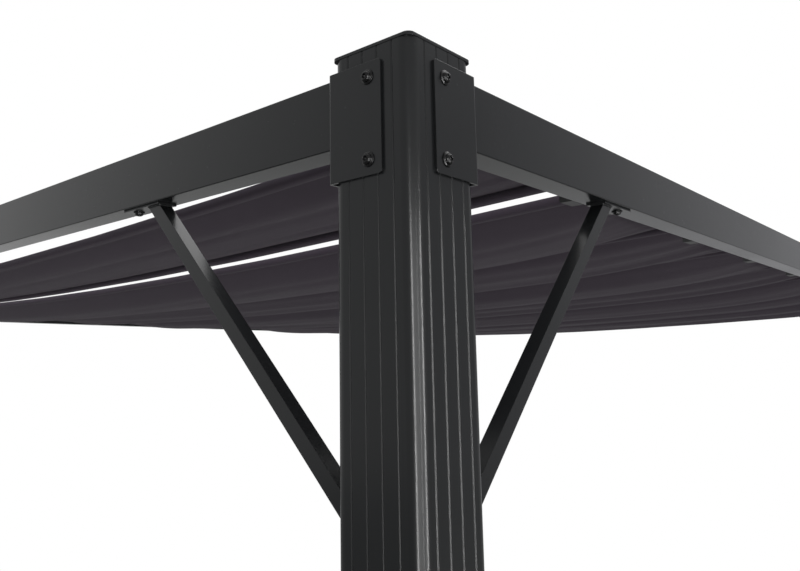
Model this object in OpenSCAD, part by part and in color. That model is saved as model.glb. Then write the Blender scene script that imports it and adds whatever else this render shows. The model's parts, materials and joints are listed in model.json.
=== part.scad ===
// Freestanding retractable-canopy pergola: four grooved posts, tube beams on
// folded corner brackets, knee braces, and a fabric canopy in two sheets that
// lies over cross bars hung from guide rails. X is the way the canopy slides.

/* [Overall size] */
// Length over the posts, along the rails
frame_l = 4000; // [3000:50:5000]
// Width over the posts, along the cross bars
frame_w = 3300; // [2400:50:4000]
// Height of the frame above the ground, to the top of the post caps
frame_h = 2300; // [1900:10:2900]

/* [Posts] */
// Side of a post
post_w = 110; // [90:1:140]
// Outside radius of a post's corners
post_r = 15; // [6:1:20]
// Wall of a post
post_wall = 2.5; // [2:0.5:6]
// Distance between grooves on a post's face
groove_pitch = 20.5; // [14:0.5:24]
// Width of a groove at the surface
groove_w = 3; // [1.5:0.5:5]
// Depth of a groove
groove_d = 1; // [0.5:0.1:1.5]

/* [Caps and base plates] */
// Thickness of a post cap
cap_t = 3.5; // [2:0.5:8]
// How far a cap stands out past the post's faces
cap_lip = 0.5; // [0:0.1:3]
// Corner radius of a cap
cap_r = 8; // [3:1:15]
// Side of a base plate
base_w = 160; // [150:5:220]
// Thickness of a base plate
base_t = 6; // [4:1:12]
// Corner radius of a base plate
base_r = 6; // [3:1:15]
// Distance between anchor holes
anchor_pitch = 132; // [126:1:190]
// Diameter of an anchor hole
anchor_d = 11; // [8:0.5:14]

/* [Beams] */
// Height of a beam
beam_h = 80; // [50:1:120]
// Thickness of a beam
beam_t = 40; // [30:1:60]
// Wall of a beam
beam_wall = 2; // [1:0.5:4]
// Outside radius of a beam's edges
beam_r = 1.5; // [0.5:0.5:4]
// Distance from a post's outer face in to a beam's outer face
beam_inset = 10; // [2:1:25]
// Distance from the underside of a post cap down to a beam's top
beam_drop = 16; // [5:1:60]

/* [Corner brackets] */
// Thickness of the bracket sheet
bracket_t = 3; // [2:0.5:5]
// Height of a bracket
bracket_h = 123; // [95:1:180]
// Length of the leg that lies on a post's outer face
bracket_leg = 76; // [60:1:90]
// Radius of a bracket's free corners
bracket_r = 4; // [1:0.5:8]
// Outside radius of a bracket's bend
bend_r = 4; // [3.5:0.5:6]

/* [Knee braces] */
// Side of a brace tube
brace_w = 20; // [20:1:36]
// Wall of a brace tube
brace_wall = 2; // [1:0.5:3]
// Distance from the post to a brace's centre line, along the beam
brace_reach = 386; // [250:5:600]
// Thickness of a brace's foot plate
foot_t = 3; // [2:0.5:6]
// Width of a brace's foot plate
foot_w = 30; // [24:1:38]
// How far a foot plate runs past the brace's centre line, away from the corner
foot_out = 70; // [50:1:100]
// How far a foot plate runs past the brace's centre line, towards the corner
foot_in = 22; // [20:1:60]

/* [Canopy rails and sliders] */
// Height of a guide rail
rail_h = 20; // [12:1:30]
// Thickness of a guide rail
rail_t = 14; // [8:1:25]
// Wall of a guide rail
rail_wall = 2; // [1:0.5:3]
// Distance from a beam's top down to a guide rail's top
rail_drop = 13; // [5:1:30]
// Length of a slider
slider_l = 36; // [24:1:44]
// Thickness of a slider
slider_t = 22; // [16:1:30]
// Height of a slider below its rail
slider_h = 46; // [24:1:60]
// Running gap between a slider and its rail
slider_gap = 0.3; // [0.1:0.1:1]

/* [Canopy] */
// Width of a cross bar
bar_w = 16; // [10:1:25]
// Height of a cross bar
bar_h = 12; // [8:1:25]
// Distance from a slider's top down to a cross bar's centre at its ends
bar_drop = 10; // [9:1:24]
// Sag of the cross bars at mid span
bar_sag = 40; // [5:1:80]
// Distance from a post to the canopy's end sliders
edge_gap = 7; // [7:1:172]
// Length of the first sheet, from bar to bar
panel_l = 325; // [200:5:800]
// Distance between the two sheets' bars, which leaves the slit of sky
slit_l = 106; // [46:1:120]
// Number of bays in the second sheet
bays = 8; // [4:1:12]
// Sag of the fabric in a bay of the second sheet
bay_sag = 45; // [10:1:90]
// Sag of the fabric in the first sheet
panel_sag = 35; // [10:1:90]
// Thickness of the fabric solid
fabric_t = 3; // [2:0.5:6]
// Gap between the fabric and what carries it
fabric_gap = 0.3; // [0.1:0.1:1]
// Distance from a slider to the fabric's side edge
fabric_side = 8; // [2:1:60]

/* [Hidden] */
$fn = 64;
eps = 0.01;
metal = "#353637";
cloth = "#433e45";
black = "#1b1b1c";

post_top = frame_h - cap_t;
beam_top = post_top - beam_drop;
beam_bottom = beam_top - beam_h;
beam_mid = beam_inset + beam_t / 2;
beam_inner = beam_inset + beam_t;
bracket_end = post_w + bracket_t;
foot_from_centre = brace_reach - foot_in;
foot_l = foot_in + foot_out;

rail_top = beam_top - rail_drop;
rail_bottom = rail_top - rail_h;
slider_top = rail_bottom - slider_gap;
slider_y = beam_inner + slider_gap;
bar_end_z = slider_top - bar_drop;
bar_span = frame_w - 2 * (slider_y + slider_t);
fabric_span = bar_span - 2 * fabric_side;
fabric_z = bar_h / 2 + fabric_gap;
// Straight stretches that stand for the curve of a bar, and of the fabric in a bay
bar_steps = 8;
bay_steps = 8;
fabric_ys = [for (j = [0:bar_steps]) fabric_span * (j / bar_steps - 0.5)];

canopy_start = -frame_l / 2 + post_w + edge_gap + slider_l / 2;
canopy_end = -canopy_start;
main_start = canopy_start + panel_l + slit_l;
bay_l = (canopy_end - main_start) / bays;
panel_bars = [canopy_start, canopy_start + panel_l];
main_bars = [for (i = [0:bays]) main_start + i * bay_l];
bar_places = concat(panel_bars, main_bars);

// Each corner's name, then 1 where X or Y is mirrored to reach it
CORNERS = [["front_left", 0, 0], ["front_right", 1, 0], ["back_left", 0, 1], ["back_right", 1, 1]];
// Each side's name, then 1 where it is the far one
FRONT_BACK = [["front", 0], ["back", 1]];
LEFT_RIGHT = [["left", 0], ["right", 1]];

// Puts a piece drawn with its outer corner at the origin, +X and +Y inwards, at a corner
module at_corner(corner) {
    mirror([corner[1], 0, 0])
        mirror([0, corner[2], 0])
            translate([-frame_l / 2, -frame_w / 2, 0])
                children();
}

// Puts a piece drawn along X, its outer face at Y = 0, on the front or the back
module at_side(side) {
    mirror([0, side[1], 0])
        translate([0, -frame_w / 2, 0])
            children();
}

// Puts the same piece on the left or the right end, where it runs along Y
module at_end(side) {
    mirror([side[1], 0, 0])
        translate([-frame_l / 2, 0, 0])
            across()
                children();
}

// Turns a piece drawn along X into its twin along Y
module across() {
    mirror([1, -1, 0]) children();
}

// A rectangle with round corners, its lower left corner at the origin
module round_rect(w, h, r) {
    union() {
        translate([r, 0]) square([w - 2 * r, h]);
        translate([0, r]) square([w, h - 2 * r]);
        for (x = [r, w - r])
            for (y = [r, h - r])
                translate([x, y]) circle(r);
    }
}

// A tube's section: a round rectangle with an even wall
module tube_section(w, h, r, wall) {
    difference() {
        round_rect(w, h, r);
        translate([wall, wall]) round_rect(w - 2 * wall, h - 2 * wall, max(r - wall, 0.5));
    }
}

// The four V grooves of one post face, cut up from the line y = 0
module face_grooves() {
    for (i = [-1.5:1:1.5])
        translate([post_w / 2 + i * groove_pitch, 0])
            polygon([[-groove_w / 2, -eps], [groove_w / 2, -eps], [groove_w / 2, 0],
                     [0, groove_d], [-groove_w / 2, 0]]);
}

module post() {
    color(metal)
        translate([0, 0, base_t])
            linear_extrude(post_top - base_t)
                difference() {
                    tube_section(post_w, post_w, post_r, post_wall);
                    for (a = [0:90:270])
                        translate([post_w / 2, post_w / 2])
                            rotate(a)
                                translate([-post_w / 2, -post_w / 2])
                                    face_grooves();
                }
}

module cap() {
    w = post_w + 2 * cap_lip;
    color(metal)
        translate([-cap_lip, -cap_lip, post_top])
            linear_extrude(cap_t)
                round_rect(w, w, cap_r);
}

module base_plate() {
    color(metal)
        translate([post_w / 2, post_w / 2, 0])
            difference() {
                linear_extrude(base_t)
                    translate([-base_w / 2, -base_w / 2])
                        round_rect(base_w, base_w, base_r);
                for (x = [-1, 1])
                    for (y = [-1, 1])
                        translate([x * anchor_pitch / 2, y * anchor_pitch / 2, -1])
                            cylinder(d = anchor_d, h = base_t + 2);
            }
}

// A beam along X from bracket to bracket, on the near side
module beam(total) {
    color(metal)
        translate([-total / 2 + bracket_end, 0, 0])
            rotate([90, 0, 90])
                linear_extrude(total - 2 * bracket_end)
                    translate([beam_inset, beam_bottom])
                        tube_section(beam_t, beam_h, beam_r, beam_wall);
}

// Cuts a square corner at the origin, whose piece lies towards +X and +Y, to a radius
module corner_cutter(r) {
    difference() {
        translate([-1, -1]) square(r + 1);
        translate([r, r]) circle(r);
    }
}

// A folded bracket: one leg on the post's outer face, the other under the beam's end
module bracket() {
    leg_start = bracket_end - bracket_leg;
    side_l = beam_inner + bracket_t;
    color(metal)
        translate([0, 0, beam_top - bracket_h])
            difference() {
                linear_extrude(bracket_h)
                    difference() {
                        union() {
                            translate([leg_start, -bracket_t]) square([bracket_leg, bracket_t]);
                            translate([post_w, -bracket_t]) square([bracket_t, side_l]);
                        }
                        translate([bracket_end, -bracket_t])
                            mirror([1, 0])
                                corner_cutter(bend_r);
                    }
                for (top = [0, 1])
                    translate([leg_start, 1, top * bracket_h])
                        rotate([90, 0, 0])
                            linear_extrude(bracket_t + 2)
                                mirror([0, top])
                                    corner_cutter(bracket_r);
            }
}

// The stretch of a 45 degree bar between the two foot plates, drawn as a flat outline:
// x runs out from the post, y runs down from the beam, and half is its half width
module brace_outline(half) {
    reach = half * sqrt(2);
    polygon([
        [foot_t, brace_reach - foot_t - reach],
        [brace_reach - foot_t - reach, foot_t],
        [brace_reach - foot_t + reach, foot_t],
        [foot_t, brace_reach - foot_t + reach]
    ]);
}

// A knee brace: a square tube welded to a foot plate at each end
module brace() {
    color(metal)
        translate([post_w, beam_mid, beam_bottom])
            rotate([-90, 0, 0]) {
                difference() {
                    linear_extrude(brace_w, center = true) brace_outline(brace_w / 2);
                    linear_extrude(brace_w - 2 * brace_wall, center = true)
                        brace_outline(brace_w / 2 - brace_wall);
                }
                translate([foot_from_centre, 0, -foot_w / 2]) cube([foot_l, foot_t, foot_w]);
                translate([0, foot_from_centre, -foot_w / 2]) cube([foot_t, foot_l, foot_w]);
            }
}

// A guide rail on the near beam's inner face, open along its underside
module rail() {
    slot = rail_t - 4 * rail_wall;
    color(metal)
        translate([-frame_l / 2 + post_w, beam_inner, rail_bottom])
            rotate([90, 0, 90])
                linear_extrude(frame_l - 2 * post_w)
                    difference() {
                        square([rail_t, rail_h]);
                        translate([rail_wall, rail_wall])
                            square([rail_t - 2 * rail_wall, rail_h - 2 * rail_wall]);
                        translate([(rail_t - slot) / 2, -1]) square([slot, rail_wall + 2]);
                    }
}

// The sliders on the near rail, one for each bar
module sliders() {
    slider_r = 3;
    color(black)
        for (x = bar_places)
            translate([x - slider_l / 2, slider_y, slider_top - slider_h])
                rotate([90, 0, 90])
                    linear_extrude(slider_l)
                        round_rect(slider_t, slider_h, slider_r);
}

// How far a bar or sheet hangs below its ends at the place y across the span
function sag_at(y) = bar_sag * (1 - pow(2 * y / bar_span, 2));

module canopy_bars() {
    places = concat([-bar_span / 2], fabric_ys, [bar_span / 2]);
    color(metal)
        for (x = bar_places)
            translate([x - bar_w / 2, 0, bar_end_z])
                rotate([90, 0, 90])
                    linear_extrude(bar_w)
                        polygon(concat(
                            [for (y = places) [y, bar_h / 2 - sag_at(y)]],
                            [for (i = [len(places) - 1:-1:0]) [places[i], -bar_h / 2 - sag_at(places[i])]]
                        ));
}

// The line of one sheet along X, over its bars: flat on each bar, and a hanging
// parabola between two, as [x, height above the bars' centre line]
function sheet_line(bars, sag) = concat(
    [[bars[0] - bar_w / 2 - fabric_gap, fabric_z]],
    [for (i = [0:len(bars) - 2])
        let (x0 = bars[i] + bar_w / 2 + fabric_gap,
             x1 = bars[i + 1] - bar_w / 2 - fabric_gap)
        for (k = [0:bay_steps])
            let (u = k / bay_steps)
            [x0 + (x1 - x0) * u, fabric_z - 4 * sag * u * (1 - u)]],
    [[bars[len(bars) - 1] + bar_w / 2 + fabric_gap, fabric_z]]
);

// A sheet of fabric over the given bars: its line along X, lowered by the bars' own
// sag at each place across, with the same thickness everywhere
module sheet(bars, sag) {
    line = sheet_line(bars, sag);
    m = len(line);
    n = len(fabric_ys);
    lower = [for (y = fabric_ys) for (q = line) [q[0], y, bar_end_z + q[1] - sag_at(y)]];
    upper = [for (q = lower) [q[0], q[1], q[2] + fabric_t]];
    top = m * n;
    flats = [for (j = [0:n - 2]) for (i = [0:m - 2]) j * m + i];
    polyhedron(
        points = concat(lower, upper),
        faces = concat(
            [for (c = flats) [c, c + 1, c + m + 1, c + m]],
            [for (c = flats) [top + c, top + c + m, top + c + m + 1, top + c + 1]],
            [for (i = [0:m - 2]) [i, top + i, top + i + 1, i + 1]],
            [for (i = [0:m - 2])
                let (c = (n - 1) * m + i)
                [c, c + 1, top + c + 1, top + c]],
            [for (j = [0:n - 2]) [j * m, j * m + m, top + j * m + m, top + j * m]],
            [for (j = [0:n - 2])
                let (c = j * m + m - 1)
                [c, top + c, top + c + m, c + m]]
        )
    );
}

module canopy_first_sheet() {
    color(cloth) sheet(panel_bars, panel_sag);
}

module canopy_main_sheet() {
    color(cloth) sheet(main_bars, bay_sag);
}

for (c = CORNERS) {
    at_corner(c) post();
    at_corner(c) cap();
    at_corner(c) base_plate();
    at_corner(c) bracket();
    at_corner(c) across() bracket();
    at_corner(c) brace();
    at_corner(c) across() brace();
}
for (s = FRONT_BACK) {
    at_side(s) beam(frame_l);
    at_side(s) rail();
    at_side(s) sliders();
}
for (s = LEFT_RIGHT) {
    at_end(s) beam(frame_w);
}
canopy_bars();
canopy_first_sheet();
canopy_main_sheet();
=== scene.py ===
"""Finishes a freestanding pergola with a retractable fabric canopy.

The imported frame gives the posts, beams, brackets, braces, rails, sliders and cross bars.
This script gives them their powder coat, and adds the bolts, the weld beads, the two
canopy sheets with their pockets and hems, and the stage with its lights and camera.
"""
import json
import math

import bmesh
import bpy
import numpy as np
from bpy.props import FloatProperty, FloatVectorProperty, IntProperty, PointerProperty
from bpy.types import Operator, Panel, PropertyGroup
from mathutils import Matrix, Vector


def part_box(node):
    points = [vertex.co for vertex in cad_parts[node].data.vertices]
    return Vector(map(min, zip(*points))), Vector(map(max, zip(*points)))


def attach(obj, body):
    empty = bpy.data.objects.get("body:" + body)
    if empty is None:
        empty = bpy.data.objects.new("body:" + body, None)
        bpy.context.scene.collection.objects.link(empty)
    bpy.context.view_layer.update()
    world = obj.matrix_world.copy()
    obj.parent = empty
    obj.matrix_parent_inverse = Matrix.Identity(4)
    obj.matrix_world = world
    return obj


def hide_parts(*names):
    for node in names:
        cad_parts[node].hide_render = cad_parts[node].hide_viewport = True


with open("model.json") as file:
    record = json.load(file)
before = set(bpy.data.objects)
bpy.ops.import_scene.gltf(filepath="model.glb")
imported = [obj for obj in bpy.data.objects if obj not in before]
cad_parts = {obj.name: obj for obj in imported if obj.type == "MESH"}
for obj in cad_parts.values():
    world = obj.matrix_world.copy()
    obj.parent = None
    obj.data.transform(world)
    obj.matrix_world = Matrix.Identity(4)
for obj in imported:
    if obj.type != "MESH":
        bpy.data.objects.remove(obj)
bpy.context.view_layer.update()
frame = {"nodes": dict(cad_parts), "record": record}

bl_info = {
    "name": "Pergola Finish",
    "version": (1, 0, 0),
    "blender": (4, 5, 0),
    "location": "View3D > Sidebar > Pergola",
    "description": "Powder coat, bolts, welds, canopy and stage for a pergola frame",
    "category": "Add Mesh",
}

BODY = "root"
MM = 0.001
# The square side of a brace tube, the thickness of its foot plates, and how far they reach past it
BRACE_SIDE = 20 * MM
FOOT_T = 3 * MM
FOOT_OUT = 70 * MM
CORNERS = [("front_left", -1, -1), ("front_right", 1, -1), ("back_left", -1, 1), ("back_right", 1, 1)]


# ---------------------------------------------------------------- sizes and colours

class CoatSettings(PropertyGroup):
    """The powder coat of the frame."""

    colour: FloatVectorProperty(
        name="Coat colour", description="Colour of the powder coat", subtype="COLOR",
        default=(0.0164, 0.0173, 0.0182), min=0, max=1)
    roughness: FloatProperty(
        name="Roughness", description="How matt the coat is", default=0.22, min=0, max=1, subtype="FACTOR")
    grain: FloatProperty(
        name="Grain", description="Size of the coat's fine texture", default=1.1 * MM, unit="LENGTH")
    grain_depth: FloatProperty(
        name="Grain depth", description="Height of the coat's fine texture", default=0.022 * MM,
        unit="LENGTH")
    edge: FloatProperty(
        name="Edge rounding", description="Radius at which light catches an edge", default=0.9 * MM,
        unit="LENGTH")


class BoltSettings(PropertyGroup):
    """The button-head socket bolts."""

    flange: FloatProperty(
        name="Flange", description="Diameter of the bolt's flange", default=16.5 * MM, unit="LENGTH")
    head: FloatProperty(
        name="Head", description="Diameter of the round head", default=12.4 * MM, unit="LENGTH")
    height: FloatProperty(
        name="Height", description="Height of the head over the plate", default=5.4 * MM, unit="LENGTH")
    socket: FloatProperty(
        name="Socket", description="Width across the hexagon's flats", default=5 * MM, unit="LENGTH")
    end_gap: FloatProperty(
        name="End distance", description="From a plate's end to its bolt", default=17 * MM, unit="LENGTH")
    colour: FloatVectorProperty(
        name="Bolt colour", description="Colour of the blackened steel", subtype="COLOR",
        default=(0.0035, 0.0035, 0.0038), min=0, max=1)


class WeldSettings(PropertyGroup):
    """The weld beads at the brackets and foot plates."""

    radius: FloatProperty(
        name="Bead radius", description="Radius of a weld bead", default=1.5 * MM, unit="LENGTH")
    ripple: FloatProperty(
        name="Ripple length", description="Distance between ripples on a bead", default=3 * MM, unit="LENGTH")


class CanopySettings(PropertyGroup):
    """The two sheets of the canopy."""

    colour: FloatVectorProperty(
        name="Cloth colour", description="Colour of the woven cloth", subtype="COLOR",
        default=(0.064, 0.0495, 0.0670), min=0, max=1)
    main_sag: FloatProperty(
        name="Main sag", description="Sag in a bay of the long sheet", default=52 * MM, unit="LENGTH")
    first_sag: FloatProperty(
        name="First sag", description="Sag of the short first sheet", default=16 * MM, unit="LENGTH")
    fold: FloatProperty(
        name="Fold height", description="Height of the soft folds across a bay", default=5 * MM,
        unit="LENGTH")
    pucker: FloatProperty(
        name="Pucker height", description="Height of the puckers at the side hems", default=1.2 * MM,
        unit="LENGTH")
    thickness: FloatProperty(
        name="Cloth thickness", description="Thickness of the cloth", default=0.9 * MM, unit="LENGTH")
    thread: FloatProperty(
        name="Thread pitch", description="Distance between two threads", default=0.8 * MM, unit="LENGTH")
    bay_columns: IntProperty(
        name="Bay columns", description="Grid columns in one bay", default=36, min=8, max=60)
    rows: IntProperty(
        name="Rows", description="Grid rows across the span", default=104, min=20, max=200)


class StageSettings(PropertyGroup):
    """Floor, lights and camera."""

    floor_colour: FloatVectorProperty(
        name="Floor colour", description="Colour of the studio floor", subtype="COLOR",
        default=(0.50, 0.50, 0.49), min=0, max=1)
    floor_radius: FloatProperty(
        name="Floor radius", description="Where the floor has faded into the background",
        default=3.9, unit="LENGTH")
    sky: FloatProperty(
        name="Sky level", description="Strength of the world as it lights the object",
        default=0.70, min=0)
    lens: FloatProperty(name="Lens", description="Focal length in millimetres", default=33.17)


# ---------------------------------------------------------------- mesh helpers

def quads(rows, columns, close_rows=False, close_columns=False):
    """Corner numbers of the quads on a grid of rows by columns points, as one array.

    A quad joins point (i, j) to (i, j+1), (i+1, j+1) and (i+1, j). Closing a direction
    joins its last line of points back to its first.
    """
    i = np.arange(rows if close_rows else rows - 1)
    j = np.arange(columns if close_columns else columns - 1)
    i, j = np.meshgrid(i, j, indexing="ij")
    down, right = (i + 1) % rows, (j + 1) % columns
    corners = [i * columns + j, i * columns + right, down * columns + right, down * columns + j]
    return np.stack(corners, -1).reshape(-1, 4)


def repeat_shape(points, faces, places):
    """One set of points and faces for many copies: copy k is the shape moved by places[k].

    places is an array of 3 by 4 matrices, the turned axes in its first three columns and
    the shift in its last, and point p goes to A p + b.
    """
    places = np.asarray(places, float)
    moved = np.einsum("kab,nb->kna", places[:, :, :3], points) + places[:, None, :, 3]
    shift = np.arange(len(places))[:, None, None] * len(points)
    return moved.reshape(-1, 3), (faces[None] + shift).reshape(-1, faces.shape[1])


def make_piece(name, points, faces, material, uv=None, smooth=True):
    """Puts points and faces in a new object that rides on the frame, with its finish."""
    mesh = bpy.data.meshes.new(name)
    mesh.vertices.add(len(points))
    mesh.vertices.foreach_set("co", np.asarray(points, np.float32).ravel())
    mesh.loops.add(faces.size)
    mesh.loops.foreach_set("vertex_index", faces.astype(np.int32).ravel())
    mesh.polygons.add(len(faces))
    mesh.polygons.foreach_set("loop_start", np.arange(0, faces.size, faces.shape[1], dtype=np.int32))
    mesh.update(calc_edges=True)
    mesh.polygons.foreach_set("use_smooth", np.full(len(faces), smooth))
    if uv is not None:
        layer = mesh.uv_layers.new(name="cloth")
        layer.data.foreach_set("uv", np.asarray(uv, np.float32)[faces.ravel()].ravel())
    mesh.validate()
    mesh.materials.append(material)
    piece = bpy.data.objects.new(name, mesh)
    bpy.context.scene.collection.objects.link(piece)
    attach(piece, BODY)
    return piece


def corners_of(name):
    """Lowest and highest corner of a CAD node as two arrays."""
    low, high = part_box(name)
    return np.array(low), np.array(high)


def place(origin, outward, up=(0, 0, 1)):
    """A 3 by 4 matrix that puts a shape's +Z along outward at origin, its Y near up."""
    z = np.array(outward, float)
    y = np.array(up, float)
    if abs(z @ y) > 0.9:
        y = np.array([0.0, 1.0, 0.0])
    x = np.cross(y, z)
    x /= np.linalg.norm(x)
    return np.column_stack([x, np.cross(z, x), z, np.array(origin, float)])


# ---------------------------------------------------------------- shader groups

def new_group(name, inputs, outputs):
    """An empty shader group with float or vector sockets, its input and output nodes."""
    group = bpy.data.node_groups.new(name, "ShaderNodeTree")
    for label, kind, value in inputs:
        socket = group.interface.new_socket(label, in_out="INPUT", socket_type=kind)
        if value is not None:
            socket.default_value = value
    for label, kind in outputs:
        group.interface.new_socket(label, in_out="OUTPUT", socket_type=kind)
    return group, group.nodes.new("NodeGroupInput"), group.nodes.new("NodeGroupOutput")


def maths(tree, operation, a, b=None, clamp=False):
    """A math node on two sockets or numbers, and its output."""
    node = tree.nodes.new("ShaderNodeMath")
    node.operation = operation
    node.use_clamp = clamp
    for socket, value in zip(node.inputs, (a, b)):
        if isinstance(value, (int, float)):
            socket.default_value = value
        elif value is not None:
            tree.links.new(value, socket)
    return node.outputs[0]


def noise(tree, vector, scale, detail=2.0, roughness=0.5):
    """A noise texture's value at the given scale."""
    node = tree.nodes.new("ShaderNodeTexNoise")
    node.inputs["Detail"].default_value = detail
    node.inputs["Roughness"].default_value = roughness
    tree.links.new(vector, node.inputs["Vector"])
    if isinstance(scale, (int, float)):
        node.inputs["Scale"].default_value = scale
    else:
        tree.links.new(scale, node.inputs["Scale"])
    return node.outputs["Fac"]


def remap(tree, value, low, high, to_low, to_high):
    """Map Range on one value, clamped."""
    node = tree.nodes.new("ShaderNodeMapRange")
    tree.links.new(value, node.inputs["Value"])
    for label, number in (("From Min", low), ("From Max", high), ("To Min", to_low), ("To Max", to_high)):
        node.inputs[label].default_value = number
    return node.outputs["Result"]


def coat_group():
    """Powder coat: a fine pebbled height, a slow tone drift and a roughness that varies.

    Height is noise at 1 / Grain plus a third as much at three times that. Tone is slow
    noise over half a metre with faint dust specks added.
    """
    name = "Powder Coat Texture"
    if name in bpy.data.node_groups:
        return bpy.data.node_groups[name]
    group, ins, outs = new_group(
        name,
        [("Vector", "NodeSocketVector", None), ("Grain", "NodeSocketFloat", 0.001),
         ("Roughness", "NodeSocketFloat", 0.4)],
        [("Height", "NodeSocketFloat"), ("Tone", "NodeSocketFloat"), ("Roughness", "NodeSocketFloat")])
    vector = ins.outputs["Vector"]
    scale = maths(group, "DIVIDE", 0.5, ins.outputs["Grain"])
    pebble = noise(group, vector, scale, 1.0)
    fine = noise(group, vector, maths(group, "MULTIPLY", scale, 3.1), 0.0)
    height = maths(group, "ADD", pebble, maths(group, "MULTIPLY", fine, 0.33))
    drift = noise(group, vector, 2.3, 3.0, 0.55)
    dust = remap(group, noise(group, vector, 140.0, 4.0, 0.7), 0.62, 0.8, 0.0, 1.0)
    tone = maths(group, "ADD", remap(group, drift, 0.3, 0.7, 0.0, 0.75), maths(group, "MULTIPLY", dust, 0.25))
    rough = maths(group, "ADD", ins.outputs["Roughness"], remap(group, drift, 0.3, 0.7, -0.035, 0.035))
    rough = maths(group, "ADD", rough, maths(group, "MULTIPLY", dust, 0.12))
    group.links.new(height, outs.inputs["Height"])
    group.links.new(tone, outs.inputs["Tone"])
    group.links.new(rough, outs.inputs["Roughness"])
    return group


def cloth_group():
    """Plain weave: warp and weft waves at the thread pitch, each over the other in turn.

    Tone is the thread's own slight unevenness with slow clouding.
    """
    name = "Plain Weave"
    if name in bpy.data.node_groups:
        return bpy.data.node_groups[name]
    group, ins, outs = new_group(
        name,
        [("Vector", "NodeSocketVector", None), ("Pitch", "NodeSocketFloat", 0.0008)],
        [("Height", "NodeSocketFloat"), ("Tone", "NodeSocketFloat")])
    split = group.nodes.new("ShaderNodeSeparateXYZ")
    group.links.new(ins.outputs["Vector"], split.inputs[0])
    turns = maths(group, "DIVIDE", math.pi, ins.outputs["Pitch"])
    waves = [maths(group, "SINE", maths(group, "MULTIPLY", split.outputs[axis], turns)) for axis in "XY"]
    threads = [maths(group, "MULTIPLY", wave, wave) for wave in waves]
    over = remap(group, maths(group, "MULTIPLY", *waves), -0.2, 0.2, 0.35, 1.0)
    warp = maths(group, "MULTIPLY", threads[0], over)
    weft = maths(group, "MULTIPLY", threads[1], maths(group, "SUBTRACT", 1.35, over))
    height = maths(group, "MAXIMUM", warp, weft)
    slub = noise(group, ins.outputs["Vector"], 260.0, 2.0)
    cloud = noise(group, ins.outputs["Vector"], 1.7, 4.0, 0.6)
    tone = maths(group, "ADD", maths(group, "MULTIPLY", slub, 0.35), maths(group, "MULTIPLY", cloud, 0.65))
    group.links.new(height, outs.inputs["Height"])
    group.links.new(tone, outs.inputs["Tone"])
    return group


# ---------------------------------------------------------------- materials

def start_material(name):
    """A new material: its node tree, its Principled shader, and a coordinate node."""
    material = bpy.data.materials.new(name)
    material.use_nodes = True
    tree = material.node_tree
    return material, tree, tree.nodes["Principled BSDF"], tree.nodes.new("ShaderNodeTexCoord")


def use_group(tree, group, **values):
    """Places a shader group in a material with its own values."""
    node = tree.nodes.new("ShaderNodeGroup")
    node.node_tree = group
    for label, value in values.items():
        node.inputs[label.replace("_", " ")].default_value = value
    return node


def tone_colour(tree, factor, dark, light):
    """A colour between dark and light by a factor."""
    ramp = tree.nodes.new("ShaderNodeValToRGB")
    ramp.color_ramp.elements[0].color = (*dark, 1)
    ramp.color_ramp.elements[1].color = (*light, 1)
    tree.links.new(factor, ramp.inputs["Fac"])
    return ramp.outputs["Color"]


def bump(tree, shader, height, depth, under=None):
    """Feeds a height to the shader's normal through a Bump node, over another normal if given."""
    node = tree.nodes.new("ShaderNodeBump")
    node.inputs["Distance"].default_value = depth
    tree.links.new(height, node.inputs["Height"])
    if under is not None:
        tree.links.new(under, node.inputs["Normal"])
    tree.links.new(node.outputs["Normal"], shader.inputs["Normal"])


def shade(colour, factor):
    """A colour made darker or lighter by a factor."""
    return tuple(channel * factor for channel in colour)


def coat_material(name, settings, brightness=1.0):
    """Textured powder coat on aluminium."""
    if name in bpy.data.materials:
        return bpy.data.materials[name]
    material, tree, shader, place_node = start_material(name)
    coat = use_group(tree, coat_group(), Grain=settings.grain, Roughness=settings.roughness)
    tree.links.new(place_node.outputs["Object"], coat.inputs["Vector"])
    colour = shade(settings.colour, brightness)
    tree.links.new(
        tone_colour(tree, coat.outputs["Tone"], shade(colour, 0.88), shade(colour, 1.18)),
        shader.inputs["Base Color"])
    tree.links.new(coat.outputs["Roughness"], shader.inputs["Roughness"])
    shader.inputs["Specular IOR Level"].default_value = 0.17
    edge = tree.nodes.new("ShaderNodeBevel")
    edge.samples = 6
    edge.inputs["Radius"].default_value = settings.edge
    bump(tree, shader, coat.outputs["Height"], settings.grain_depth, edge.outputs["Normal"])
    return material


def plastic_material():
    """Moulded black plastic of the sliders, with a faint mould grain."""
    material, tree, shader, place_node = start_material("slider_plastic")
    coat = use_group(tree, coat_group(), Grain=0.6 * MM, Roughness=0.5)
    tree.links.new(place_node.outputs["Object"], coat.inputs["Vector"])
    tree.links.new(
        tone_colour(tree, coat.outputs["Tone"], (0.010, 0.010, 0.011), (0.018, 0.018, 0.019)),
        shader.inputs["Base Color"])
    tree.links.new(coat.outputs["Roughness"], shader.inputs["Roughness"])
    bump(tree, shader, coat.outputs["Height"], 0.02 * MM)
    return material


def bolt_material(settings):
    """Blackened steel: dark and glossy, worn lighter in places."""
    material, tree, shader, place_node = start_material("black_steel")
    coat = use_group(tree, coat_group(), Grain=0.5 * MM, Roughness=0.26)
    tree.links.new(place_node.outputs["Object"], coat.inputs["Vector"])
    tree.links.new(
        tone_colour(tree, coat.outputs["Tone"], shade(settings.colour, 0.7), shade(settings.colour, 2.2)),
        shader.inputs["Base Color"])
    tree.links.new(coat.outputs["Roughness"], shader.inputs["Roughness"])
    shader.inputs["Specular IOR Level"].default_value = 0.16
    bump(tree, shader, coat.outputs["Height"], 0.012 * MM)
    return material


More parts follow.
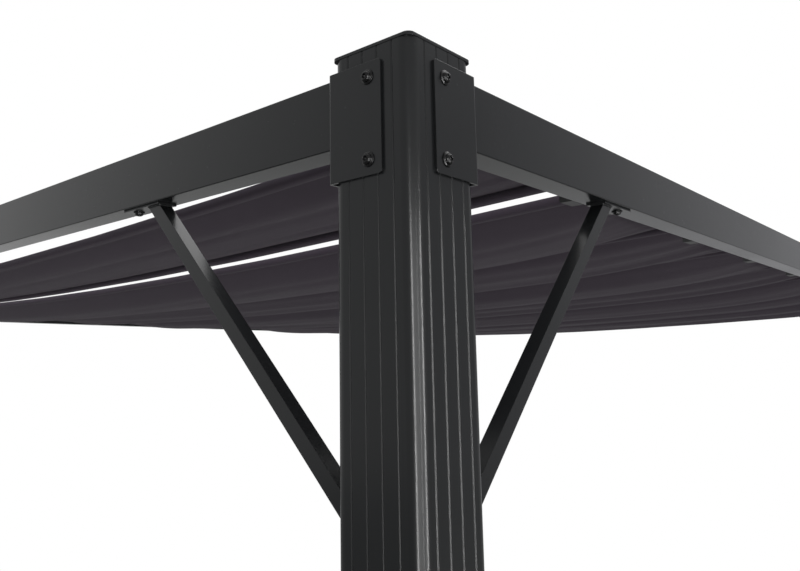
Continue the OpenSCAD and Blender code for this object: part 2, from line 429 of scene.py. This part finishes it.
def cloth_material(settings):
    """Coated woven polyester with a soft sheen; its weave follows the cloth's own UV map."""
    material, tree, shader, place_node = start_material("canopy_cloth")
    weave = use_group(tree, cloth_group(), Pitch=settings.thread)
    tree.links.new(place_node.outputs["UV"], weave.inputs["Vector"])
    tree.links.new(
        tone_colour(tree, weave.outputs["Tone"], shade(settings.colour, 0.82), shade(settings.colour, 1.2)),
        shader.inputs["Base Color"])
    tree.links.new(
        remap(tree, weave.outputs["Tone"], 0.3, 0.7, 0.72, 0.86), shader.inputs["Roughness"])
    shader.inputs["Specular IOR Level"].default_value = 0.12
    shader.inputs["Sheen Weight"].default_value = 0.07
    shader.inputs["Sheen Roughness"].default_value = 0.45
    bump(tree, shader, weave.outputs["Height"], 0.12 * MM)
    return material


# ---------------------------------------------------------------- frame

class PERGOLA_OT_finish_frame(Operator):
    """Give every CAD node of the frame its procedural finish"""

    bl_idname = "pergola.finish_frame"
    bl_label = "Finish Frame"

    def execute(self, context):
        """Assigns a material to each CAD node by its record slot."""
        settings = context.scene.pergola_coat
        by_slot = {
            "frame_metal": coat_material("powder_coat", settings),
            "bar_metal": coat_material("bar_coat", settings, 0.9),
            "slider_plastic": plastic_material(),
            "canopy_fabric": coat_material("under_cloth", settings),
        }
        slots = {part["node"]: part["material_slot"] for part in frame["record"]["subparts"]}
        for name, node in frame["nodes"].items():
            for slot in node.material_slots:
                slot.material = by_slot[slots[name]]
        return {"FINISHED"}


# ---------------------------------------------------------------- bolts

def bolt_shape(settings):
    """Points and faces of one button-head bolt that stands on the plane z = 0.

    Rings of 48 points run from the middle of the underside, out under the flange, over
    the dome and down into the socket. Each ring is a circle, but for the socket's rings,
    whose radius at angle a is half the flats' width over cos(a folded into 30 degrees).
    """
    turns = 48
    angle = np.linspace(0, 2 * math.pi, turns, endpoint=False)
    flange, head = settings.flange / 2, settings.head / 2
    top, rim = settings.height, 1.3 * MM
    mouth = settings.socket * 0.62
    rise = np.linspace(0.12, 1, 7)
    dome_r = mouth + (head - mouth) * np.cos(rise * math.pi / 2)
    dome_z = rim + (top - rim) * np.sin(rise * math.pi / 2)
    profile = [(0.02 * MM, 0), (flange - 0.3 * MM, 0), (flange, 0.3 * MM), (flange, rim - 0.3 * MM),
               (flange - 0.35 * MM, rim), (head + 0.15 * MM, rim + 0.1 * MM)]
    profile += list(zip(dome_r, dome_z))
    rings = [(np.full(turns, r), z) for r, z in profile]
    fold = np.abs((angle + math.pi / 6) % (math.pi / 3) - math.pi / 6)
    hexagon = settings.socket / 2 / np.cos(fold)
    rings += [(hexagon * scale, z) for scale, z in (
        (1.0, top - 0.25 * MM), (0.99, top - 0.5 * MM), (0.99, top - 2.6 * MM), (0.02, top - 3.0 * MM))]
    points = np.concatenate([
        np.stack([r * np.cos(angle), r * np.sin(angle), np.full(turns, z)], -1)
        for r, z in rings])
    faces = quads(len(rings), turns, close_columns=True)
    return points, faces


def add_bolts(name, places, material, settings):
    """One joined mesh of bolts at the given places."""
    points, faces = bolt_shape(settings)
    piece_points, piece_faces = repeat_shape(points, faces, places)
    close_holes(make_piece(name, piece_points, piece_faces, material))


def close_holes(piece):
    """Fills the two small end rings of each copy, so that the mesh is closed."""
    work = bmesh.new()
    work.from_mesh(piece.data)
    bmesh.ops.holes_fill(work, edges=[e for e in work.edges if e.is_boundary], sides=0)
    bmesh.ops.recalc_face_normals(work, faces=work.faces)
    work.to_mesh(piece.data)
    work.free()


class PERGOLA_OT_add_bolts(Operator):
    """Add the bolts of the corner brackets and of the braces' foot plates"""

    bl_idname = "pergola.add_bolts"
    bl_label = "Add Bolts"

    def execute(self, context):
        """Works each bolt's place out from the bracket, brace and post boxes."""
        settings = context.scene.pergola_bolts
        material = bolt_material(settings)
        bracket_places, brace_places = [], []
        for corner, side_x, side_y in CORNERS:
            post_low, post_high = corners_of(f"post_{corner}")
            middle = (post_low + post_high) / 2
            for run, axis, side in (("long", 1, side_y), ("cross", 0, side_x)):
                outward = np.zeros(3)
                outward[axis] = side
                low, high = corners_of(f"bracket_{run}_{corner}")
                for height in (low[2] + settings.end_gap, high[2] - settings.end_gap):
                    spot = np.array([middle[0], middle[1], height])
                    spot[axis] = high[axis] if side > 0 else low[axis]
                    bracket_places.append(place(spot, outward))
                brace_places += self.brace_bolts(corner, run, (side_x, side_y), settings)
        add_bolts("bracket_bolts", bracket_places, material, settings)
        add_bolts("brace_bolts", brace_places, material, settings)
        return {"FINISHED"}

    def brace_bolts(self, corner, run, sides, settings):
        """Places of the bolt in the beam's foot plate and of the one in the post's."""
        low, high = corners_of(f"brace_{run}_{corner}")
        along = 0 if run == "long" else 1
        inward = -sides[along]
        far = high[along] if inward > 0 else low[along]
        near = low[along] if inward > 0 else high[along]
        upper = (low + high) / 2
        upper[along] = far - inward * settings.end_gap
        upper[2] = high[2] - FOOT_T
        lower = (low + high) / 2
        lower[along] = near + inward * FOOT_T
        lower[2] = low[2] + settings.end_gap
        outward = np.zeros(3)
        outward[along] = inward
        return [place(upper, (0, 0, -1)), place(lower, outward)]


# ---------------------------------------------------------------- welds

def bead_loop(corner_points, settings, seed):
    """A weld bead round a closed loop of straight sides: a tube of 8 points a ring.

    Rings stand every half ripple along each side. A ring's radius is the bead's, times
    one plus a seventh of cos(2 pi s / ripple), with a little noise, s being the distance.
    """
    turns = 8
    random = np.random.default_rng(seed)
    loop = np.asarray(corner_points, float)
    after = np.roll(loop, -1, axis=0)
    lengths = np.linalg.norm(after - loop, axis=1)
    total = lengths.sum()
    count = max(12, int(total / (settings.ripple / 2.5)))
    s = np.linspace(0, total, count, endpoint=False)
    starts = np.concatenate([[0], np.cumsum(lengths)])
    side = np.clip(np.searchsorted(starts, s, side="right") - 1, 0, len(loop) - 1)
    step = ((s - starts[side]) / lengths[side])[:, None]
    centre = loop[side] * (1 - step) + after[side] * step
    ahead = np.roll(centre, -1, axis=0) - np.roll(centre, 1, axis=0)
    ahead /= np.linalg.norm(ahead, axis=1)[:, None]
    normal = np.cross(after[0] - loop[0], after[1] - loop[1])
    normal = np.broadcast_to(normal / np.linalg.norm(normal), ahead.shape)
    out = np.cross(ahead, normal)
    radius = settings.radius * (1 + np.cos(2 * math.pi * s / settings.ripple) / 7)
    radius *= 1 + 0.06 * random.standard_normal(count)
    angle = np.linspace(0, 2 * math.pi, turns, endpoint=False)
    ring = out[:, None] * np.cos(angle)[None, :, None] + normal[:, None] * np.sin(angle)[None, :, None]
    points = centre[:, None] + ring * radius[:, None, None]
    return points.reshape(-1, 3), quads(count, turns, close_rows=True, close_columns=True)


def rectangle(centre, half_a, half_b):
    """Four corners of a rectangle from its centre and its two half sides."""
    centre, a, b = (np.array(v, float) for v in (centre, half_a, half_b))
    return [centre - a - b, centre + a - b, centre + a + b, centre - a + b]


class PERGOLA_OT_add_welds(Operator):
    """Add the weld beads where beams meet brackets and braces meet foot plates"""

    bl_idname = "pergola.add_welds"
    bl_label = "Add Welds"

    def execute(self, context):
        """Runs a bead round each beam's end and round each brace tube's two ends."""
        settings = context.scene.pergola_welds
        loops = []
        for side in ("front", "back"):
            loops += self.beam_ends(f"beam_{side}", 0)
        for side in ("left", "right"):
            loops += self.beam_ends(f"beam_{side}", 1)
        for corner, side_x, side_y in CORNERS:
            loops += self.brace_ends(f"brace_long_{corner}", 0, -side_x)
            loops += self.brace_ends(f"brace_cross_{corner}", 1, -side_y)
        points, faces, shift = [], [], 0
        for seed, loop in enumerate(loops):
            loop_points, loop_faces = bead_loop(loop, settings, seed)
            points.append(loop_points)
            faces.append(loop_faces + shift)
            shift += len(loop_points)
        material = coat_material("powder_coat", context.scene.pergola_coat)
        piece = make_piece("weld_beads", np.vstack(points), np.vstack(faces), material)
        close_holes(piece)
        return {"FINISHED"}

    def beam_ends(self, name, along):
        """Loops round both ends of a beam that runs along the given axis."""
        low, high = corners_of(name)
        across = 1 - along
        middle = (low + high) / 2
        half_a = np.zeros(3)
        half_a[across] = (high - low)[across] / 2
        half_b = np.array([0, 0, (high - low)[2] / 2])
        loops = []
        for end in (low[along], high[along]):
            centre = middle.copy()
            centre[along] = end
            loops.append(rectangle(centre, half_a, half_b))
        return loops

    def brace_ends(self, name, along, inward):
        """Loops round a brace tube where it meets its two foot plates.

        The plates are as far from the brace's centre line as its box says: the tube's cut
        is its side times the root of two long, and lies FOOT_OUT in from the plate's end.
        """
        low, high = corners_of(name)
        across = 1 - along
        middle = (low + high) / 2
        reach = high[2] - low[2] - FOOT_OUT - FOOT_T
        half_width = np.zeros(3)
        half_width[across] = BRACE_SIDE / 2
        half_along = np.zeros(3)
        half_along[along] = BRACE_SIDE / math.sqrt(2)
        near = low[along] if inward > 0 else high[along]
        upper = middle.copy()
        upper[along] = near + inward * reach
        upper[2] = high[2] - FOOT_T
        lower = middle.copy()
        lower[along] = near + inward * FOOT_T
        lower[2] = high[2] - reach
        return [rectangle(upper, half_along, half_width),
                rectangle(lower, half_width, (0, 0, BRACE_SIDE / math.sqrt(2)))]


# ---------------------------------------------------------------- canopy

def cross_bars():
    """Middles of the cross bars along X, their width, and the height of their tops.

    The heights come back as two arrays, places across and the bar's top at each, read
    from the bars' own mesh.
    """
    mesh = frame["nodes"]["canopy_bars"].data
    co = np.empty(len(mesh.vertices) * 3)
    mesh.vertices.foreach_get("co", co)
    co = co.reshape(-1, 3)
    edges = np.unique(co[:, 0].round(4)).reshape(-1, 2)
    across = np.unique(co[:, 1].round(4))
    tops = np.array([co[np.abs(co[:, 1] - y) < 1e-3, 2].max() for y in across])
    bottoms = np.array([co[np.abs(co[:, 1] - y) < 1e-3, 2].min() for y in across])
    return edges.mean(1), float(np.diff(edges[0])[0]), across, tops, float((tops - bottoms).mean())


def spread(start, end, count):
    """count numbers from start to end, closer together at both ends."""
    turn = (1 - np.cos(np.linspace(0, math.pi, count))) / 2
    even = np.linspace(0, 1, count)
    return start + (end - start) * (0.55 * turn + 0.45 * even)


def sheet_grid(bars, width, y, sag, settings, seed):
    """Points of one hanging sheet, as an array of rows across by columns along.

    On each bar the cloth lies flat. In a bay it hangs by 4 u (1 - u) times the sag, u
    from 0 to 1 between bars, a little less at the side hems. Folds that run across are
    cosines of u with a phase that drifts slowly along y, faded out at the bars. Two of the
    four in a bay are pinched creases instead, 1 - 2 |sin| to the power 0.55. The side hems
    pucker with short waves that fade inwards.
    """
    random = np.random.default_rng(seed)
    lip = width / 2 + 1.0 * MM
    span = y.max()
    side = 1 - 0.62 * (np.abs(y) / span) ** 10
    fade = np.exp(-(span - np.abs(y)) / 0.16)
    columns, heights = [np.array([bars[0] - lip])], [np.zeros((len(y), 1))]
    for start, end in zip(bars[:-1] + lip, bars[1:] - lip):
        u = np.linspace(0, 1, settings.bay_columns)
        x = spread(start, end, settings.bay_columns)
        u = (x - start) / (end - start)
        hang = 4 * u * (1 - u)
        drop = -sag * (1 + 0.12 * random.standard_normal()) * side[:, None] * hang[None]
        for kind in range(4):
            waves = random.uniform(1.5, 4.5)
            phase = random.uniform(0, 2 * math.pi)
            bend = random.uniform(0.3, 1.0) * np.sin(y * random.uniform(0.8, 2.2) + random.uniform(0, 6))
            size = settings.fold * random.uniform(0.35, 1.0)
            turn = math.pi * waves * u[None] + phase / 2 + bend[:, None] / 2
            crest = np.cos(2 * turn) if kind < 2 else 1 - 2 * np.abs(np.sin(turn)) ** 0.55
            drop += size * np.minimum(hang, 0.7)[None] * crest
        pull = random.uniform(9, 14)
        reach = pull * (u[None] - 0.5) * (1 + 0.5 * fade[:, None])
        ripple = np.sin(2 * math.pi * reach + random.uniform(0, 6))
        drop += settings.pucker * fade[:, None] * np.sqrt(hang)[None] * ripple
        columns.append(x)
        heights.append(drop)
    columns.append(np.array([bars[-1] + lip]))
    heights.append(np.zeros((len(y), 1)))
    return np.concatenate(columns), np.hstack(heights)


def run_length(points, axis):
    """Distance along a grid of points in one direction, from its first line."""
    steps = np.linalg.norm(np.diff(points, axis=axis), axis=2)
    zero = np.zeros_like(np.take(steps, [0], axis))
    return np.concatenate([zero, np.cumsum(steps, axis)], axis)


def add_sheet(name, node, bars, sag, settings, material, seed):
    """One sheet of the canopy, and its flat size (across, along)."""
    places, width, across, tops, _ = cross_bars()
    low, high = corners_of(node)
    y = np.linspace(low[1], high[1], settings.rows)
    x, drop = sheet_grid(bars, width, y, sag, settings, seed)
    base = np.interp(y, across, tops) + 1.0 * MM
    points = np.stack(np.broadcast_arrays(x[None], y[:, None], base[:, None] + drop), -1)
    along, over = run_length(points, 1), run_length(points, 0)
    uv = np.stack([along, over], -1).reshape(-1, 2)
    faces = quads(len(y), len(x))[:, ::-1]
    piece = make_piece(name, points.reshape(-1, 3), faces, material, uv)
    thick = piece.modifiers.new("thickness", "SOLIDIFY")
    thick.thickness = settings.thickness
    thick.offset = 0
    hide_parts(node)
    return piece, (float(over[-1].mean()), float(along[:, -1].mean()))


def add_pockets(name, bars, node, settings, material):
    """The sewn pockets that hold the bars under one sheet, as one mesh.

    A pocket's section is half a rounded oval under its bar: at angle a from 0 to pi it is
    out by cos(a) times its half width and down by sin(a) to the power 0.28 times its depth.
    """
    _, width, across, tops, bar_height = cross_bars()
    low, high = corners_of(node)
    y = np.linspace(low[1], high[1], settings.rows)
    base = np.interp(y, across, tops) + 0.4 * MM
    angle = np.linspace(0, math.pi, 19)
    out = np.cos(angle) * (width / 2 + 2.4 * MM)
    down = np.sin(angle) ** 0.28 * (bar_height + 2.3 * MM)
    slack = 1 + 0.02 * np.sin(y * 9.1) * np.sin(y * 2.3 + 1)
    points, faces = [], []
    grid = quads(len(y), len(angle))
    uv = []
    for k, bar in enumerate(bars):
        z = base[:, None] - down[None] * slack[:, None]
        strip = np.stack(np.broadcast_arrays(bar + out[None], y[:, None], z), -1)
        points.append(strip.reshape(-1, 3))
        faces.append(grid + k * strip.shape[0] * strip.shape[1])
        uv.append(np.stack([run_length(strip, 1), run_length(strip, 0)], -1).reshape(-1, 2))
    piece = make_piece(name, np.vstack(points), np.vstack(faces), material, np.vstack(uv))
    thick = piece.modifiers.new("thickness", "SOLIDIFY")
    thick.thickness = settings.thickness
    thick.offset = 0
    return piece


class PERGOLA_OT_add_canopy(Operator):
    """Add the two canopy sheets, each hung over its cross bars"""

    bl_idname = "pergola.add_canopy"
    bl_label = "Add Canopy"

    def execute(self, context):
        """Splits the bars between the two sheets and hangs each, with its pockets, over its own bars."""
        settings = context.scene.pergola_canopy
        material = cloth_material(settings)
        bars = cross_bars()[0]
        sheets = (
            ("canopy_first", "canopy_first_sheet", bars[:2], settings.first_sag, 3),
            ("canopy_main", "canopy_main_sheet", bars[2:], settings.main_sag, 11),
        )
        for name, node, own_bars, sag, seed in sheets:
            pockets = add_pockets(f"{name}_pockets", own_bars, node, settings, material)
            piece, flat = add_sheet(name, node, own_bars, sag, settings, material, seed)
        return {"FINISHED"}


# ---------------------------------------------------------------- stage

def seen_white(tree, plain, white):
    """A shader that is white to the camera, in gloss and through glass, and plain elsewhere."""
    rays = tree.nodes.new("ShaderNodeLightPath")
    seen = maths(tree, "MAXIMUM", rays.outputs["Is Camera Ray"], rays.outputs["Is Glossy Ray"])
    seen = maths(tree, "MAXIMUM", seen, rays.outputs["Is Transmission Ray"])
    mix = tree.nodes.new("ShaderNodeMixShader")
    tree.links.new(seen, mix.inputs["Fac"])
    tree.links.new(plain, mix.inputs[1])
    tree.links.new(white, mix.inputs[2])
    return mix.outputs[0]


def make_world(settings):
    """A soft even sky that the camera sees as white."""
    world = bpy.data.worlds.new("studio")
    world.use_nodes = True
    tree = world.node_tree
    plain = tree.nodes["Background"]
    plain.inputs["Color"].default_value = (0.97, 0.985, 1.0, 1)
    plain.inputs["Strength"].default_value = settings.sky
    white = tree.nodes.new("ShaderNodeBackground")
    white.inputs["Color"].default_value = (1, 1, 1, 1)
    white.inputs["Strength"].default_value = 1.0
    rays = seen_white(tree, plain.outputs[0], white.outputs[0])
    tree.links.new(rays, tree.nodes["World Output"].inputs["Surface"])
    bpy.context.scene.world = world


FLOOR_END = 14.0


def floor_material(settings):
    """Pale floor that goes over into the white background.

    To the camera it does so at the floor radius, in gloss and through glass at its end.
    """
    material, tree, shader, place_node = start_material("studio_floor")
    rays = tree.nodes.new("ShaderNodeLightPath")
    pale = tone_colour(tree, rays.outputs["Is Camera Ray"], settings.floor_colour, (0.86, 0.86, 0.86))
    tree.links.new(pale, shader.inputs["Base Color"])
    shader.inputs["Roughness"].default_value = 0.9
    shader.inputs["Specular IOR Level"].default_value = 0.1
    length = tree.nodes.new("ShaderNodeVectorMath")
    length.operation = "LENGTH"
    tree.links.new(place_node.outputs["Object"], length.inputs[0])
    rim = remap(tree, length.outputs["Value"], 0.62 * settings.floor_radius, settings.floor_radius, 0, 1)
    far = remap(tree, length.outputs["Value"], 0.8 * FLOOR_END, FLOOR_END, 0, 1)
    mirrored = maths(tree, "MAXIMUM", rays.outputs["Is Glossy Ray"], rays.outputs["Is Transmission Ray"])
    seen = maths(tree, "MULTIPLY", rays.outputs["Is Camera Ray"], rim)
    white = maths(tree, "MAXIMUM", seen, maths(tree, "MULTIPLY", mirrored, far))
    glow = tree.nodes.new("ShaderNodeEmission")
    glow.inputs["Strength"].default_value = 1.0
    mix = tree.nodes.new("ShaderNodeMixShader")
    tree.links.new(white, mix.inputs["Fac"])
    tree.links.new(shader.outputs[0], mix.inputs[1])
    tree.links.new(glow.outputs[0], mix.inputs[2])
    tree.links.new(mix.outputs[0], tree.nodes["Material Output"].inputs["Surface"])
    return material


def add_floor(settings):
    """A round floor just under the base plates, as a fan of rings."""
    turns, rings = 96, 12
    angle = np.linspace(0, 2 * math.pi, turns, endpoint=False)
    radius = np.linspace(0.001, FLOOR_END, rings)
    points = np.stack(np.broadcast_arrays(
        radius[:, None] * np.cos(angle)[None], radius[:, None] * np.sin(angle)[None],
        -0.2 * MM), -1).reshape(-1, 3)
    faces = quads(rings, turns, close_columns=True)[:, ::-1]
    mesh = bpy.data.meshes.new("floor")
    mesh.from_pydata(points.tolist(), [], faces.tolist())
    mesh.materials.append(floor_material(settings))
    floor = bpy.data.objects.new("floor", mesh)
    bpy.context.scene.collection.objects.link(floor)


def add_light(name, location, target, size, power, colour=(1, 1, 1)):
    """A rectangular area light of size (width, height) that faces a target point."""
    light = bpy.data.lights.new(name, "AREA")
    light.shape = "RECTANGLE"
    light.size, light.size_y = size
    light.energy = power
    light.color = colour
    lamp = bpy.data.objects.new(name, light)
    lamp.location = location
    toward = Vector(target) - Vector(location)
    lamp.rotation_euler = toward.to_track_quat("-Z", "Y").to_euler()
    lamp.visible_camera = False
    bpy.context.scene.collection.objects.link(lamp)
    return lamp


def add_flag():
    """A grey card far out past the right end, low in gloss and unseen by the camera.

    It stands upright across X from y = -14 m to 8 m, and gives the long side of the
    frame something darker than the white background to mirror.
    """
    side, near, far, bottom, top = 9.0, -14.0, 8.0, -0.1, 9.0
    corners = [(side, near, bottom), (side, far, bottom), (side, far, top), (side, near, top)]
    mesh = bpy.data.meshes.new("flag")
    mesh.from_pydata(corners, [], [(0, 1, 2, 3)])
    material, tree, _, _ = start_material("studio_flag")
    glow = tree.nodes.new("ShaderNodeEmission")
    glow.inputs["Color"].default_value = (0.56, 0.56, 0.58, 1)
    tree.links.new(glow.outputs[0], tree.nodes["Material Output"].inputs["Surface"])
    mesh.materials.append(material)
    flag = bpy.data.objects.new("flag", mesh)
    bpy.context.scene.collection.objects.link(flag)
    for ray in ("camera", "diffuse", "shadow", "transmission"):
        setattr(flag, f"visible_{ray}", False)


CARD_HEIGHT = 1.9
CARD_DISTANCE = 1.6
# Name, bearing from -X towards -Y in degrees, width in metres and radiance of each card
GLOSS_CARDS = (
    ("strip_left", 35, 0.12, 64.0),
    ("card_left", 56, 0.80, 5.6),
    ("strip_middle", 77, 0.08, 34.0),
    ("card_right", 93, 0.60, 4.2),
    ("strip_right", 109, 0.12, 60.0),
)


def gloss_card(name, target, bearing, width, radiance):
    """A tall card of light out from the near post, which only shows in its gloss.

    An area light of radiance L and area A has a power of pi L A.
    """
    turn = math.radians(bearing)
    spot = Vector(target) - Vector((math.cos(turn), math.sin(turn), 0)) * CARD_DISTANCE
    power = math.pi * radiance * width * CARD_HEIGHT
    lamp = add_light(name, spot, target, (width, CARD_HEIGHT), power)
    lamp.visible_diffuse = False


def add_camera(settings):
    """The camera, outside the front left post, a little below its top and looking up.

    Its place is a step out from the post's outer corner and down from the post's top. Its
    right and up axes are worked out from the way it looks, then turned by the roll.
    """
    low, high = corners_of("post_front_left")
    spot = np.array([low[0], low[1], high[2]]) + np.array([-547.2, -435.6, -331.6]) * MM
    yaw, pitch, roll = (math.radians(a) for a in (41.223, 9.637, -0.893))
    look = Vector((math.cos(pitch) * math.cos(yaw), math.cos(pitch) * math.sin(yaw), math.sin(pitch)))
    right = look.cross(Vector((0, 0, 1))).normalized()
    up = right.cross(look)
    turned_right = right * math.cos(roll) + up * math.sin(roll)
    turned_up = up * math.cos(roll) - right * math.sin(roll)
    axes = Matrix((turned_right, turned_up, -look)).transposed()
    camera = bpy.data.objects.new("camera", bpy.data.cameras.new("camera"))
    camera.data.sensor_width = 36
    camera.data.lens = settings.lens
    camera.data.shift_x = 0.0254
    camera.data.shift_y = -0.0558
    camera.data.clip_start = 0.02
    camera.matrix_world = Matrix.Translation(Vector(spot)) @ axes.to_4x4()
    bpy.context.scene.collection.objects.link(camera)
    bpy.context.scene.camera = camera


class PERGOLA_OT_add_stage(Operator):
    """Add the floor, the soft lights, the white background and the camera"""

    bl_idname = "pergola.add_stage"
    bl_label = "Add Stage"

    def execute(self, context):
        """Sets up the stage around the frame's box."""
        settings = context.scene.pergola_stage
        make_world(settings)
        add_floor(settings)
        add_flag()
        add_light("top_soft", (0.5, -1.6, 7.0), (0, 0, 1.5), (6, 6), 260)
        post = corners_of("post_front_left")[0]
        for name, bearing, width, radiance in GLOSS_CARDS:
            gloss_card(name, (post[0], post[1], 1.47), bearing, width, radiance)
        add_camera(settings)
        context.scene.view_settings.view_transform = "Standard"
        return {"FINISHED"}


# ---------------------------------------------------------------- panel and run

class PERGOLA_PT_sidebar(Panel):
    """Lists the steps and their settings"""

    bl_label = "Pergola"
    bl_space_type = "VIEW_3D"
    bl_region_type = "UI"
    bl_category = "Pergola"

    def draw(self, context):
        """Draws each step's button and its settings."""
        for step, settings in STEPS:
            box = self.layout.box()
            box.operator(step.bl_idname)
            group = getattr(context.scene, settings)
            for label in group.bl_rna.properties.keys():
                if label not in ("rna_type", "name"):
                    box.prop(group, label)


SETTINGS = {
    "pergola_coat": CoatSettings,
    "pergola_bolts": BoltSettings,
    "pergola_welds": WeldSettings,
    "pergola_canopy": CanopySettings,
    "pergola_stage": StageSettings,
}
STEPS = (
    (PERGOLA_OT_finish_frame, "pergola_coat"),
    (PERGOLA_OT_add_bolts, "pergola_bolts"),
    (PERGOLA_OT_add_welds, "pergola_welds"),
    (PERGOLA_OT_add_canopy, "pergola_canopy"),
    (PERGOLA_OT_add_stage, "pergola_stage"),
)
CLASSES = (*SETTINGS.values(), *(step for step, _ in STEPS), PERGOLA_PT_sidebar)


def register():
    """Registers the classes and hangs the settings on the scene."""
    for cls in CLASSES:
        bpy.utils.register_class(cls)
    for name, cls in SETTINGS.items():
        setattr(bpy.types.Scene, name, PointerProperty(type=cls))


def unregister():
    """Takes the settings and the classes away again."""
    for name in SETTINGS:
        delattr(bpy.types.Scene, name)
    for cls in reversed(CLASSES):
        bpy.utils.unregister_class(cls)


def main():
    """Runs every step in order."""
    register()
    bpy.ops.pergola.finish_frame()
    bpy.ops.pergola.add_bolts()
    bpy.ops.pergola.add_welds()
    bpy.ops.pergola.add_canopy()
    bpy.ops.pergola.add_stage()


if __name__ == "__main__":
    main()
